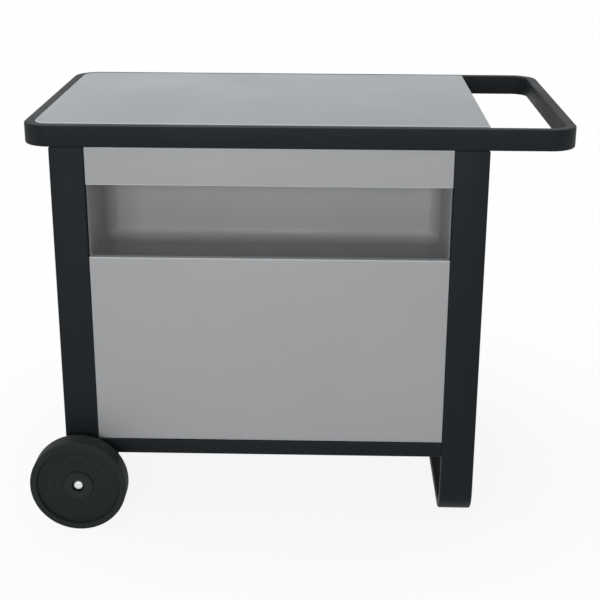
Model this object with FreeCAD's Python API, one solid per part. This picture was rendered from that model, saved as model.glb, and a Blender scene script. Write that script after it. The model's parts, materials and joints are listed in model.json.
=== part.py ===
# Grill cart with storage, in millimetres.
#
# While the pieces are built, X runs from the left end of the top loop to the handle, Y from
# the front of the loop to its back, and Z up from the floor. The finished pieces are then
# moved so that the origin is on the floor under the middle of the cart.
import FreeCAD, Part
import math
import os

from FreeCAD import Vector

X = Vector(1, 0, 0)
Y = Vector(0, 1, 0)
Z = Vector(0, 0, 1)

# Overall sizes
loop_length = 1030.0
loop_depth = 600.0
cart_height = 800.0

# The tube of the top loop, which is also the handle
rail_wide = 20.0
rail_tall = 40.0
loop_bend = 52.0
tube_wall = 1.5
tube_corner = 2.0
vent_radius = 4.0
vent_distance = 28.0

# The flat tube of the two leg frames
leg_wide = 65.0
leg_deep = 20.0
leg_bend = 60.0
left_leg_start = 52.0
handle_reach = 162.0
left_frame_lift = 25.0

# The lower rails, the rails under the table and the plates that tie the rails to the legs
small_tube_wide = 20.0
small_tube_tall = 30.0
bottom_rail_height = 137.0
plate_thick = 3.0
plate_tall = 24.0
plate_on_leg = 36.0
plate_on_rail = 46.0
plate_corner = 4.0

# Sheet metal
table_sheet = 1.2
table_flange = 18.0
table_proud = 1.8
table_gap = 0.3
table_edge_cut = 1.2
panel_sheet = 1.0
panel_recess = 3.0
panel_flange = 15.0
panel_round = 3.0
panel_gap = 0.2
panel_screw_inset = 60.0
fascia_screw_rise = 16.0
side_screw_inset = 80.0
side_recess = 4.0
side_flange = 20.0

# The open storage slot at the front and the bin behind it
fascia_height = 72.0
slot_height = 141.0
bin_sheet = 1.2
bin_depth = 176.0
bin_sink = 22.0
bin_round = 28.0
lip_drop = 20.0
bin_top_gap = 2.0
bin_ear_setback = 1.5
bin_hanger_inset = 60.0
bin_hanger_lap = 20.0
bin_screw_inset = 120.0

# The shelf at the bottom
shelf_sheet = 1.0
shelf_lap_gap = 1.0
shelf_screw_shift = 3.0
shelf_screw_share = 0.25
bead_count = 3
bead_length = 560.0
bead_width = 24.0
bead_corner = 7.0
bead_depth = 4.0

# Wheels and axle
axle_radius = 6.0
wheel_radius = 95.0
wheel_width = 40.0
wheel_gap = 28.0
wheel_wall = 4.0
web_depth = 6.0
rim_ring_inner = 79.0
boss_radius = 28.0
boss_depth = 2.0
pocket_radius = 11.0
pocket_depth = 12.0
hub_radius = 17.0
rib_count = 8
rib_thick = 3.0
core_facets = 3
hub_root = 3.0
tread_corner = 3.0
cap_wall = 3.0
cap_length = 7.0
cap_bore_depth = 5.0
cap_dome = 2.0
cap_flat_share = 0.6
running_clearance = 0.05
axle_hole_sides = 12
end_float = 0.3
cap_press_gap = 0.02

# Spigots that hold the legs to the loop
spigot_length = 40.0
spigot_gap = 0.2
spigot_bolt_drop = 20.0

# Fasteners
bolt_radius = 3.0
bolt_head_radius = 5.5
bolt_head_height = 3.0
bolt_length = 5.0
screw_radius = 2.0
screw_head_radius = 4.0
screw_head_height = 2.2
screw_length = 4.0
plate_bolt_radius = 2.5
plate_bolt_head_radius = 4.5
stud_radius = 2.5
nut_radius = 4.6
nut_height = 5.0
stud_end = 3.0
stud_share = 0.2
hole_clearance = 0.2
hole_start = 1.5
hole_runout = 2.0
cut_over = 1.0
notch_clearance = 1.0

# Places that follow from those sizes
leg_top = cart_height - rail_tall
slot_high = leg_top - fascia_height
slot_low = slot_high - slot_height
left_leg_end = left_leg_start + leg_wide
right_leg_end = loop_length - handle_reach
right_leg_start = right_leg_end - leg_wide
body_middle = (left_leg_start + right_leg_end) / 2
depth_middle = loop_depth / 2
bottom_rail_top = bottom_rail_height + small_tube_tall
table_top_height = cart_height + table_proud
table_under = table_top_height - table_sheet
cross_rail_under = table_under - small_tube_tall
side_panel_start = left_leg_start + side_recess
side_panel_top = cross_rail_under - panel_gap
axle_x = left_leg_start + leg_wide / 2
axle_height = wheel_radius
wheel_face = -wheel_gap - wheel_width
rim_inner = wheel_radius - wheel_wall
opening_start = left_leg_end + panel_gap
opening_end = right_leg_start - panel_gap
panel_back = panel_recess + panel_flange
bin_start = opening_start + panel_sheet + table_gap
bin_end = opening_end - panel_sheet - table_gap
bin_front = panel_back + panel_gap
bin_back = bin_front + bin_sheet + bin_depth + bin_sheet
bin_floor = slot_low - bin_sink
bin_under = bin_floor - bin_sheet
bin_top = leg_top - bin_top_gap
centre_rail_places = (bin_back, (bin_back + loop_depth - rail_wide) / 2)


def block(x_span, y_span, z_span):
    """A box between two values on each axis."""
    size = [high - low for low, high in (x_span, y_span, z_span)]
    return Part.makeBox(*size, Vector(x_span[0], y_span[0], z_span[0]))


def edges_where(shape, test):
    """The edges whose two ends both pass a test."""
    return [edge for edge in shape.Edges if all(test(vertex.Point) for vertex in edge.Vertexes)]


def near(value, target):
    return abs(value - target) < 0.01


def mirrored_back(shape):
    """The same piece at the back of the cart."""
    return shape.mirror(Vector(0, depth_middle, 0), Y)


def mirrored_right(shape):
    """The same piece at the right side of the body."""
    return shape.mirror(Vector(body_middle, 0, 0), X)


def outline(centre, across, upward, wide, tall, corner=0.0):
    """A rectangle around a point as one closed wire, with its corners cut off by a given amount."""
    half_wide, half_tall = wide / 2, tall / 2
    points = []
    for side, level in ((1, 1), (-1, 1), (-1, -1), (1, -1)):
        cut_corner = [(side * half_wide, level * (half_tall - corner)),
                      (side * (half_wide - corner), level * half_tall)]
        if side != level:
            cut_corner.reverse()
        points += cut_corner if corner else cut_corner[:1]
    corners = [centre + across * along + upward * up for along, up in points]
    return Part.makePolygon(corners + corners[:1])


def tube_section(centre, across, upward, wide, tall, corner=0.0):
    """The cut end of a rectangular tube, with its hollow."""
    outer = outline(centre, across, upward, wide, tall, corner)
    inner = outline(centre, across, upward, wide - 2 * tube_wall, tall - 2 * tube_wall)
    return Part.makeFace([outer, inner], "Part::FaceMakerBullseye")


def bent_tube(points, bend_radius, wide, tall, edge_cut=0.0):
    """A tube along straight runs joined by round bends, where wide lies in the plane of the bends."""
    pieces = []
    start = points[0]
    for before, corner, after in zip(points, points[1:], points[2:]):
        into = (corner - before).normalize()
        out = (after - corner).normalize()
        axis = into.cross(out).normalize()
        setback = bend_radius * math.tan(into.getAngle(out) / 2)
        bend_start = corner - into * setback
        section = tube_section(start, axis.cross(into), axis, wide, tall, edge_cut)
        pieces.append(section.extrude(bend_start - start))
        section = tube_section(bend_start, axis.cross(into), axis, wide, tall, edge_cut)
        centre = bend_start + axis.cross(into) * bend_radius
        pieces.append(section.revolve(centre, axis, math.degrees(into.getAngle(out))))
        start = corner + out * setback
    section = tube_section(start, axis.cross(out), axis, wide, tall, edge_cut)
    pieces.append(section.extrude(points[-1] - start))
    return pieces[0].fuse(pieces[1:])


def straight_tube(start, direction, length, across, upward, wide, tall):
    """A straight open tube of rounded rectangular section."""
    return tube_section(start, across, upward, wide, tall).extrude(direction * length)


def folded_tray(low, high, sheet, bend, open_side):
    """A sheet plate with its four edges folded back towards the open side."""
    outer = Part.makeBox(*(high - low), low)
    inner_low = Vector(low)
    inner_high = Vector(high)
    for axis in range(3):
        if axis != abs(open_side) - 1:
            inner_low[axis] += sheet
            inner_high[axis] -= sheet
    plate_axis = abs(open_side) - 1
    if open_side > 0:
        plate_level = low[plate_axis]
        inner_low[plate_axis] += sheet
    else:
        plate_level = high[plate_axis]
        inner_high[plate_axis] -= sheet
    inner = Part.makeBox(*(inner_high - inner_low), inner_low)
    outer = outer.makeFillet(bend, edges_where(outer, lambda p: near(p[plate_axis], plate_level)))
    return outer.cut(inner)


def equal_sided(centre, direction, radius, sides):
    """A closed wire with equal sides, square to a direction."""
    across = X if near(direction.x, 0) else Y
    upward = direction.cross(across)
    corners = []
    for number in range(sides + 1):
        angle = 2 * math.pi * number / sides
        corners.append(centre + across * radius * math.cos(angle) + upward * radius * math.sin(angle))
    return Part.makePolygon(corners)


def prism(centre, direction, radius, length, sides=6):
    """A prism with equal sides. Bolts, nuts and fixed holes are drawn this way to stay light."""
    return Part.Face(equal_sided(centre, direction, radius, sides)).extrude(direction * length)


def fastener(place, direction, radius, length, head_radius, head_height):
    """A hexagon-headed screw whose head sits on a face and whose shank goes in."""
    shank = prism(place, direction, radius, length)
    head = prism(place, direction * -1, head_radius, head_height)
    return shank.fuse(head)


def small_screws(places):
    """Sheet screws at a list of places, each with the way its shank goes in."""
    return [fastener(place, way, screw_radius, screw_length, screw_head_radius, screw_head_height)
            for place, way in places]


def flush_head(place, way, clearance=0.0):
    """The sloping head of a screw that ends level with the shelf, or with a clearance its seat."""
    wide = equal_sided(place, way, screw_head_radius + clearance, 6)
    narrow = equal_sided(place + way * shelf_sheet, way, screw_radius + clearance, 6)
    return Part.makeLoft([wide, narrow], True, True)


def drilled(piece, places, radius, depth):
    """The piece with a clearance hole at each fastener, from just above it to a given depth."""
    tools = [prism(place - way * hole_start, way, radius + hole_clearance, depth + hole_start)
             for place, way in places]
    return piece.cut(tools)


def four_corners(places):
    """Places at the front left, repeated at the other three corners of the body."""
    result = []
    for place, way in places:
        for right in (False, True):
            for back in (False, True):
                moved = Vector(place)
                turned = Vector(way)
                if right:
                    moved.x = 2 * body_middle - moved.x
                    turned.x = -turned.x
                if back:
                    moved.y = 2 * depth_middle - moved.y
                    turned.y = -turned.y
                result.append((moved, turned))
    return result


# Where the fasteners sit
def spigot_bolt_spots():
    return four_corners([(Vector(axle_x, leg_deep, leg_top - spigot_bolt_drop), Y * -1)])


def plate_bolt_spots():
    face = leg_deep + plate_thick
    level = bottom_rail_height + small_tube_tall / 2
    offsets = (-plate_on_leg / 2, plate_on_rail / 2)
    return four_corners([(Vector(left_leg_end + offset, face, level), Y * -1) for offset in offsets])


def front_panel_spots():
    """Screws through the side folds of the two front panels into the legs."""
    inner_face = opening_start + panel_sheet
    middle_of_fold = leg_deep / 2
    heights = (bottom_rail_top + panel_screw_inset, slot_low - panel_screw_inset,
               slot_high + fascia_screw_rise)
    spots = []
    for height in heights:
        spots.append((Vector(inner_face, middle_of_fold, height), X * -1))
        spots.append((Vector(2 * body_middle - inner_face, middle_of_fold, height), X))
    return spots


def side_panel_spots():
    """Screws through the upright folds of the side panels into the legs."""
    fold_middle = side_panel_start + side_flange / 2
    inner_face = leg_deep + panel_gap + panel_sheet
    heights = (bottom_rail_top + side_screw_inset, leg_top - side_screw_inset)
    return four_corners([(Vector(fold_middle, inner_face, height), Y * -1) for height in heights])


def shelf_spots():
    """Screws down through the edges of the shelf."""
    top = bottom_rail_top + panel_sheet + shelf_sheet
    side = side_panel_start + side_flange / 2 + shelf_screw_shift
    return four_corners([(Vector(side, loop_depth * shelf_screw_share, top), Z * -1)])


def bin_hanger_spots():
    """Screws through the head of the bin's back into the front centre rail."""
    level = cross_rail_under + bin_hanger_lap / 2
    places = (bin_start + bin_screw_inset, body_middle, bin_end - bin_screw_inset)
    return [(Vector(x, bin_back - bin_sheet, level), Y) for x in places]


def bin_lip_spots():
    """Screws from inside the bin through its low front wall into the panel's lip."""
    level = slot_low - lip_drop / 2
    places = (bin_start + bin_hanger_inset, bin_end - bin_hanger_inset)
    return [(Vector(x, bin_front + bin_sheet, level), Y * -1) for x in places]


def stud_spots():
    """The foot of each stud welded under the table, where its nut meets a rail or a side panel's fold."""
    spots = []
    cross_middle = side_panel_start + small_tube_wide / 2
    under_fold = side_panel_top - panel_sheet
    for y in (loop_depth * stud_share, loop_depth * (1 - stud_share)):
        spots.append(Vector(cross_middle, y, under_fold))
        spots.append(Vector(2 * body_middle - cross_middle, y, under_fold))
    for rail_start in centre_rail_places:
        spots.append(Vector(body_middle, rail_start + small_tube_wide / 2, cross_rail_under))
    return spots


# Frame
def top_rail_loop():
    """The flat tube bent round the table and out to the handle, as two welded halves."""
    inset = rail_wide / 2
    level = cart_height - rail_tall / 2
    front, back = inset, loop_depth - inset
    weld = loop_length / 2
    loop = None
    for end in (inset, loop_length - inset):
        corners = [Vector(weld, front, level), Vector(end, front, level),
                   Vector(end, back, level), Vector(weld, back, level)]
        half = bent_tube(corners, loop_bend - inset, rail_wide, rail_tall, tube_corner)
        loop = half if loop is None else loop.fuse(half)
    loop = loop.removeSplitter()
    vents = []
    for x in (loop_bend + vent_distance, loop_length - loop_bend - vent_distance):
        for y in (front, back):
            vents.append(prism(Vector(x, y, leg_top - cut_over), Z, vent_radius, tube_wall + 2 * cut_over))
    return loop.cut(vents)


def leg_frame(start, lift):
    """A flat tube bent into a U: the front leg, the run under the body and the back leg."""
    middle = start + leg_wide / 2
    inset = leg_deep / 2
    front, back = inset, loop_depth - inset
    corners = [Vector(middle, front, leg_top), Vector(middle, front, lift + inset),
               Vector(middle, back, lift + inset), Vector(middle, back, leg_top)]
    frame = bent_tube(corners, leg_bend - inset, leg_deep, leg_wide).removeSplitter()
    frame = drilled(frame, spigot_bolt_spots(), bolt_radius, bolt_length + hole_runout)
    frame = drilled(frame, plate_bolt_spots(), plate_bolt_radius, plate_thick + bolt_length + hole_runout)
    frame = drilled(frame, front_panel_spots(), screw_radius, screw_length + hole_runout)
    return drilled(frame, side_panel_spots(), screw_radius, screw_length + hole_runout)


def left_leg_frame():
    frame = leg_frame(left_leg_start, left_frame_lift)
    flat_to_corner = math.cos(math.pi / axle_hole_sides)
    hole = (axle_radius + running_clearance) / flat_to_corner
    return frame.cut(prism(Vector(axle_x, 0, axle_height), Y, hole, loop_depth, axle_hole_sides))


def leg_spigot():
    """The short tube welded under the loop that the front left leg slides onto."""
    wide = leg_wide - 2 * (tube_wall + spigot_gap)
    deep = leg_deep - 2 * (tube_wall + spigot_gap)
    start = Vector(axle_x, leg_deep / 2, leg_top - spigot_length)
    spigot = straight_tube(start, Z, spigot_length, X, Y, wide, deep)
    return drilled(spigot, spigot_bolt_spots(), bolt_radius, bolt_length + hole_runout)


def bottom_rail_front():
    level = bottom_rail_height + small_tube_tall / 2
    rail = straight_tube(Vector(left_leg_end, small_tube_wide / 2, level), X,
                         right_leg_start - left_leg_end, Y, Z, small_tube_wide, small_tube_tall)
    return drilled(rail, plate_bolt_spots(), plate_bolt_radius, plate_thick + bolt_length + hole_runout)


def side_rail_left():
    """The lower rail between the front and back legs, which carries the side panel."""
    middle = side_panel_start + small_tube_wide / 2
    level = bottom_rail_height + small_tube_tall / 2
    rail = straight_tube(Vector(middle, leg_deep, level), Y, loop_depth - 2 * leg_deep, X, Z,
                         small_tube_wide, small_tube_tall)
    return drilled(rail, shelf_spots(), screw_radius, screw_length + 2 * hole_runout)


def joint_plate():
    """The flat plate that ties the front left leg to the lower front rail."""
    length = plate_on_leg + plate_on_rail
    centre = Vector(left_leg_end - plate_on_leg + length / 2, leg_deep,
                    bottom_rail_height + small_tube_tall / 2)
    plate = Part.Face(outline(centre, X, Z, length, plate_tall, plate_corner))
    return drilled(plate.extrude(Y * plate_thick), plate_bolt_spots(), plate_bolt_radius, plate_thick + hole_runout)


def stud_holes():
    return [prism(spot - Z * hole_start, Z, stud_radius + hole_clearance, table_under - spot.z + hole_start)
            for spot in stud_spots()]


def cross_rail_left():
    """The rail under the table from the front of the loop to its back."""
    middle = side_panel_start + small_tube_wide / 2
    rail = straight_tube(Vector(middle, rail_wide, cross_rail_under + small_tube_tall / 2), Y,
                         loop_depth - 2 * rail_wide, X, Z, small_tube_wide, small_tube_tall)
    return rail.cut(stud_holes())


def centre_rail(start):
    """A rail under the table between the two cross rails."""
    first = side_panel_start + small_tube_wide
    rail = straight_tube(Vector(first, start + small_tube_wide / 2, cross_rail_under + small_tube_tall / 2),
                         X, 2 * (body_middle - first), Y, Z, small_tube_wide, small_tube_tall)
    rail = drilled(rail, bin_hanger_spots(), screw_radius, screw_length + hole_runout)
    return rail.cut(stud_holes())


# Sheet metal
def table_outline(inset):
    """The table's outline inside the loop: round at the left end, square at the handle end."""
    left = rail_wide + table_gap + inset
    right = right_leg_end - inset
    front = rail_wide + table_gap + inset
    back = loop_depth - front
    bend = loop_bend - rail_wide - table_gap - inset
    slant = bend * (1 - math.sqrt(0.5))
    edges = [
        Part.LineSegment(Vector(right, front, 0), Vector(left + bend, front, 0)),
        Part.Arc(Vector(left + bend, front, 0), Vector(left + slant, front + slant, 0),
                 Vector(left, front + bend, 0)),
        Part.LineSegment(Vector(left, front + bend, 0), Vector(left, back - bend, 0)),
        Part.Arc(Vector(left, back - bend, 0), Vector(left + slant, back - slant, 0),
                 Vector(left + bend, back, 0)),
        Part.LineSegment(Vector(left + bend, back, 0), Vector(right, back, 0)),
        Part.LineSegment(Vector(right, back, 0), Vector(right, front, 0)),
    ]
    return Part.Face(Part.Wire([edge.toShape() for edge in edges]))


def table_top():
    """The folded sheet that fills the loop, flush with it, and stops where the handle starts."""
    fold_end = table_top_height - table_flange
    outer = table_outline(0).extrude(Z * table_flange)
    outer.translate(Z * fold_end)
    outer = outer.makeChamfer(table_edge_cut, edges_where(outer, lambda p: near(p.z, table_top_height)))
    inner = table_outline(table_sheet).extrude(Z * (table_flange - table_sheet))
    inner.translate(Z * fold_end)
    table = outer.cut(inner)
    notches = []
    for start in (side_panel_start, 2 * body_middle - side_panel_start - small_tube_wide):
        notches.append(block((start - notch_clearance, start + small_tube_wide + notch_clearance),
                             (0, loop_depth), (0, table_under)))
    flange_zone = rail_wide + table_gap + table_sheet + cut_over
    keep = block((0, loop_length), (flange_zone, loop_depth - flange_zone), (0, cart_height))
    return table.cut([notch.cut(keep) for notch in notches])


def front_fascia():
    """The closed strip between the loop and the storage slot."""
    low = Vector(opening_start, panel_recess, slot_high)
    high = Vector(opening_end, panel_back, leg_top - panel_gap)
    strip = folded_tray(low, high, panel_sheet, panel_round, 2)
    return drilled(strip, front_panel_spots(), screw_radius, screw_length)


def lower_front_panel():
    """The large front panel, with a folded lip along its top edge."""
    low = Vector(opening_start, panel_recess, bottom_rail_top)
    high = Vector(opening_end, panel_back, slot_low)
    panel = folded_tray(low, high, panel_sheet, panel_round, 2)
    lip = block((opening_start, opening_end), (panel_back - panel_sheet, panel_back),
                (slot_low - lip_drop, slot_low))
    panel = panel.fuse(lip).removeSplitter()
    panel = drilled(panel, front_panel_spots(), screw_radius, screw_length)
    return drilled(panel, bin_lip_spots(), screw_radius, screw_length)


def rounded_tub(start, end, front, back, floor, top, round_radius):
    """A solid block with the round corners of the storage bin."""
    tub = block((start, end), (front, back), (floor, top))
    upright = edges_where(tub, lambda p: near(p.y, back))
    upright = [edge for edge in upright if not near(edge.Vertexes[0].Z, edge.Vertexes[1].Z)]
    tub = tub.makeFillet(round_radius, upright)
    low_edges = [edge for edge in edges_where(tub, lambda p: near(p.z, floor))
                 if not all(near(vertex.Y, front) for vertex in edge.Vertexes)]
    return tub.makeFillet(round_radius, low_edges)


def storage_bin():
    """The drawn tub behind the slot: floor, back, two sides and a low front wall."""
    outer = rounded_tub(bin_start, bin_end, bin_front, bin_back, bin_under, bin_top,
                        bin_round + bin_sheet)
    inner = rounded_tub(bin_start + bin_sheet, bin_end - bin_sheet, bin_front + bin_sheet,
                        bin_back - bin_sheet, bin_floor, bin_top + cut_over, bin_round)
    wall_top = slot_low - bin_ear_setback
    mouth = block((bin_start + bin_sheet, bin_end - bin_sheet), (0, bin_front + bin_sheet + cut_over),
                  (wall_top, bin_top + cut_over))
    tub = outer.cut([inner, mouth])
    ears = []
    for start in (bin_start, bin_end - bin_sheet):
        ears.append(block((start, start + bin_sheet),
                          (panel_recess + panel_sheet + bin_ear_setback, bin_front + bin_sheet),
                          (slot_low + bin_ear_setback, slot_high - bin_ear_setback)))
    hanger = block((bin_start + bin_hanger_inset, bin_end - bin_hanger_inset),
                   (bin_back - bin_sheet, bin_back),
                   (bin_top - bin_round, cross_rail_under + bin_hanger_lap))
    tub = tub.fuse(ears + [hanger]).removeSplitter()
    tub = drilled(tub, bin_hanger_spots(), screw_radius, screw_length)
    return drilled(tub, bin_lip_spots(), screw_radius, screw_length)


def side_panel_left():
    """The sheet between the front and back legs, folded inwards on all four edges."""
    low = Vector(side_panel_start, leg_deep + panel_gap, bottom_rail_top)
    high = Vector(side_panel_start + side_flange, loop_depth - leg_deep - panel_gap,
                  side_panel_top)
    panel = folded_tray(low, high, panel_sheet, panel_round, 1)
    panel = panel.cut(stud_holes())
    panel = drilled(panel, side_panel_spots(), screw_radius, screw_length)
    return drilled(panel, shelf_spots(), screw_radius, screw_length)


def bead(length, width, middle_y, z_span):
    """A long pad with cut-off corners, for the pressed ribs of the shelf."""
    foot = outline(Vector(body_middle, middle_y, z_span[0]), X, Y, length, width, bead_corner)
    return Part.Face(foot).extrude(Z * (z_span[1] - z_span[0]))


def bottom_shelf():
    """The flat shelf, notched round the legs, with pressed ribs and a hemmed back edge."""
    low = bottom_rail_top + panel_sheet
    high = low + shelf_sheet
    side_start = side_panel_start + panel_round + shelf_lap_gap
    leg_side = leg_deep + panel_gap + panel_sheet + panel_gap
    fold_side = opening_start + panel_sheet + panel_gap
    middle_part = block((side_start, 2 * body_middle - side_start), (leg_side, loop_depth - leg_side),
                        (low, high))
    front_lap = panel_recess + panel_round + shelf_lap_gap
    tongue = block((fold_side, 2 * body_middle - fold_side), (front_lap, loop_depth - front_lap),
                   (low, high))
    hem = block((fold_side, 2 * body_middle - fold_side),
                (loop_depth - small_tube_wide + shelf_lap_gap, loop_depth - front_lap),
                (bottom_rail_top, high))
    shelf = middle_part.fuse([tongue, hem]).removeSplitter()
    pitch = loop_depth / (bead_count + 1)
    thinner = 2 * shelf_sheet
    for number in range(bead_count):
        middle_y = pitch * (number + 1)
        shelf = shelf.fuse(bead(bead_length, bead_width, middle_y, (low - bead_depth, high)))
        shelf = shelf.cut(bead(bead_length - thinner, bead_width - thinner, middle_y,
                               (low - bead_depth + shelf_sheet, high)))
    return shelf.cut([flush_head(place, way, running_clearance) for place, way in shelf_spots()])


# Wheels and axle
def revolved(profile):
    """A body turned about the axle from (radius, place along Y) points."""
    points = [Vector(axle_x + radius, y, axle_height) for radius, y in profile]
    face = Part.Face(Part.makePolygon(points + [points[0]]))
    return face.revolve(Vector(axle_x, 0, axle_height), Y, 360)


def wheel_profile():
    """Half the section of the front wheel, from the hub's bore to the tread and back."""
    bore = axle_radius + running_clearance
    rim_back = wheel_face + wheel_width
    web_front = wheel_face + web_depth
    pocket_floor = wheel_face + pocket_depth
    hub_end = -end_float
    profile = [(bore, pocket_floor), (pocket_radius, pocket_floor), (pocket_radius, wheel_face + boss_depth),
               (boss_radius, wheel_face + boss_depth), (boss_radius, web_front)]
    profile += [(rim_ring_inner, web_front), (rim_ring_inner, wheel_face),
                (wheel_radius - tread_corner, wheel_face), (wheel_radius, wheel_face + tread_corner)]
    profile += [(wheel_radius, rim_back), (hub_radius, rim_back), (hub_radius, hub_end), (bore, hub_end)]
    return profile


def wheel_core():
    """One of the pockets cored out of the wheel's back, between two ribs, at the top of the wheel."""
    outer = rim_inner
    half_angle = math.pi / rib_count
    rib_turn = rib_thick / 2 / outer
    points = []
    for step in range(core_facets + 1):
        angle = (half_angle - rib_turn) * (2 * step / core_facets - 1)
        points.append((outer * math.sin(angle), outer * math.cos(angle)))
    inner = hub_radius + hub_root
    side_reach = inner * math.tan(half_angle) - rib_thick / 2 / math.cos(half_angle)
    points += [(side_reach, inner), (-side_reach, inner)]
    floor = wheel_face + web_depth + wheel_wall
    corners = [Vector(axle_x + along, floor, axle_height + up) for along, up in points]
    face = Part.Face(Part.makePolygon(corners + corners[:1]))
    return face.extrude(Y * wheel_width)


def wheel_front():
    """A moulded wheel: tread, flat face with raised rim and boss, and ribs left between cored pockets."""
    wheel = revolved(wheel_profile())
    cores = []
    half_pitch = 180.0 / rib_count
    for number in range(rib_count):
        core = wheel_core()
        core.rotate(Vector(axle_x, 0, axle_height), Y, half_pitch * (2 * number + 1))
        cores.append(core)
    return wheel.cut(cores)


def axle():
    reach = -(wheel_face + pocket_depth - end_float - cap_bore_depth)
    return Part.makeCylinder(axle_radius, loop_depth + 2 * reach, Vector(axle_x, -reach, axle_height), Y)


def axle_cap_front():
    """The domed push-on cap that keeps the wheel on its axle."""
    inner = axle_radius + cap_press_gap
    outer = axle_radius + cap_wall
    seat = wheel_face + pocket_depth - end_float
    crown = seat - cap_length
    return revolved([(0, seat - cap_bore_depth), (inner, seat - cap_bore_depth), (inner, seat),
                     (outer, seat), (outer, crown + cap_dome), (outer * cap_flat_share, crown), (0, crown)])


# Fasteners, one group of separate pieces for each kind
def spigot_bolts():
    return [fastener(place, way, bolt_radius, bolt_length, bolt_head_radius, bolt_head_height)
            for place, way in spigot_bolt_spots()]


def plate_bolts():
    return [fastener(place, way, plate_bolt_radius, plate_thick + bolt_length, plate_bolt_head_radius,
                     bolt_head_height) for place, way in plate_bolt_spots()]


def shelf_screws():
    """Screws whose sloping heads end level with the shelf, so nothing stands on it."""
    pieces = []
    for place, way in shelf_spots():
        shank = prism(place, way, screw_radius, shelf_sheet + screw_length)
        pieces.append(shank.fuse(flush_head(place, way)))
    return pieces


def table_studs():
    """Studs welded under the table, each with its nut below the rail."""
    pieces = []
    for spot in stud_spots():
        foot = spot.z - nut_height - stud_end
        stud = prism(Vector(spot.x, spot.y, foot), Z, stud_radius, table_under - foot)
        nut = prism(spot, Z * -1, nut_radius, nut_height)
        pieces.append(stud.fuse(nut))
    return pieces


def frame_pieces():
    rear_rail, side_rail = mirrored_back(bottom_rail_front()), side_rail_left()
    cross_rail = cross_rail_left()
    pieces = {
        "top_rail_loop": top_rail_loop(),
        "left_leg_frame": left_leg_frame(),
        "right_leg_frame": leg_frame(right_leg_start, 0),
        "bottom_rail_front": bottom_rail_front(),
        "bottom_rail_back": rear_rail,
        "side_rail_left": side_rail,
        "side_rail_right": mirrored_right(side_rail),
        "cross_rail_left": cross_rail,
        "cross_rail_right": mirrored_right(cross_rail),
        "centre_rail_front": centre_rail(centre_rail_places[0]),
        "centre_rail_back": centre_rail(centre_rail_places[1]),
    }
    for name, piece in (("leg_spigot", leg_spigot()), ("joint_plate", joint_plate())):
        pieces[name + "_front_left"] = piece
        pieces[name + "_front_right"] = mirrored_right(piece)
        pieces[name + "_back_left"] = mirrored_back(piece)
        pieces[name + "_back_right"] = mirrored_back(mirrored_right(piece))
    return pieces


def sheet_pieces():
    side_panel = side_panel_left()
    return {
        "table_top": table_top(),
        "front_fascia": front_fascia(),
        "lower_front_panel": lower_front_panel(),
        "storage_bin": storage_bin(),
        "side_panel_left": side_panel,
        "side_panel_right": mirrored_right(side_panel),
        "bottom_shelf": bottom_shelf(),
    }


def wheel_pieces():
    pieces = {"axle": axle()}
    wheel = wheel_front()
    pieces["wheel_front"] = wheel
    pieces["wheel_back"] = mirrored_back(wheel)
    cap = axle_cap_front()
    pieces["axle_caps"] = Part.makeCompound([cap, mirrored_back(cap)])
    return pieces


def fastener_pieces():
    groups = {
        "spigot_bolts": spigot_bolts(),
        "plate_bolts": plate_bolts(),
        "front_panel_screws": small_screws(front_panel_spots()),
        "side_panel_screws": small_screws(side_panel_spots()),
        "shelf_screws": shelf_screws(),
        "bin_screws": small_screws(bin_hanger_spots()) + small_screws(bin_lip_spots()),
        "table_studs": table_studs(),
    }
    return {name: Part.makeCompound(group) for name, group in groups.items()}


def main():
    os.makedirs("parts", exist_ok=True)
    pieces = {**frame_pieces(), **sheet_pieces(), **wheel_pieces(), **fastener_pieces()}
    left_edge = min(0.0, axle_x - wheel_radius)
    origin = Vector((left_edge + loop_length) / 2, depth_middle, 0)
    for name, piece in pieces.items():
        piece.translate(origin * -1)
        piece.exportStep("parts/" + name + ".step")
        print(name, "solids", len(piece.Solids), "volume", round(piece.Volume), "valid", piece.isValid())


main()
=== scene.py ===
# %% [markdown]
# # A grill cart with storage
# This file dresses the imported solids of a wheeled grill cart. The solids are the fixed frame:
# they give every size and place, in metres. Each step below says what a piece is on the real
# cart, how it could be made in Blender, and why one way was chosen. The front of the cart faces
# -Y, the handle is at +X.
# %% Load the frame
import json
import math

import bmesh
import bpy
from mathutils import Matrix, Vector


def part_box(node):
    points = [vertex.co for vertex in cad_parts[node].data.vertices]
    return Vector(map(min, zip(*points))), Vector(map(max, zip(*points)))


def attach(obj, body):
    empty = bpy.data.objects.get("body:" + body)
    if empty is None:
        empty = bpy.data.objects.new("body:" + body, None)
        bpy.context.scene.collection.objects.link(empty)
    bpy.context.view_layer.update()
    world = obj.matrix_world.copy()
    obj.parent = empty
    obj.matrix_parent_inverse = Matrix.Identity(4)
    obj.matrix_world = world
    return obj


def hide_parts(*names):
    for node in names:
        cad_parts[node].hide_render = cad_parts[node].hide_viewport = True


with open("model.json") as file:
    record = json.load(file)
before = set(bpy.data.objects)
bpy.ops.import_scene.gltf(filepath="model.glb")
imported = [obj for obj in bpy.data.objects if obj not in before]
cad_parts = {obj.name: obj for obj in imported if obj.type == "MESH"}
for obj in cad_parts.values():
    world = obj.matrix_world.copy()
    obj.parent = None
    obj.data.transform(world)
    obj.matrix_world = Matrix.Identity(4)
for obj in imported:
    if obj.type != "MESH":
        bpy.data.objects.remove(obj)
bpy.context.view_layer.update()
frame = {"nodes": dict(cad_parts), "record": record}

# %% [markdown]
# ## Small helpers
# Operators act on whatever is selected, so every step starts by clearing the selection. Faces and
# edges are picked in edit mode by where their middle is, which is what a hand would click. A
# helper that only later pieces need comes with the first of them.
# %% Helpers for selecting
SLACK = 0.0002


def clear_selection():
    if bpy.context.object and bpy.context.object.mode != "OBJECT":
        leave_edit()
    bpy.ops.object.select_all(action="DESELECT")


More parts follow.
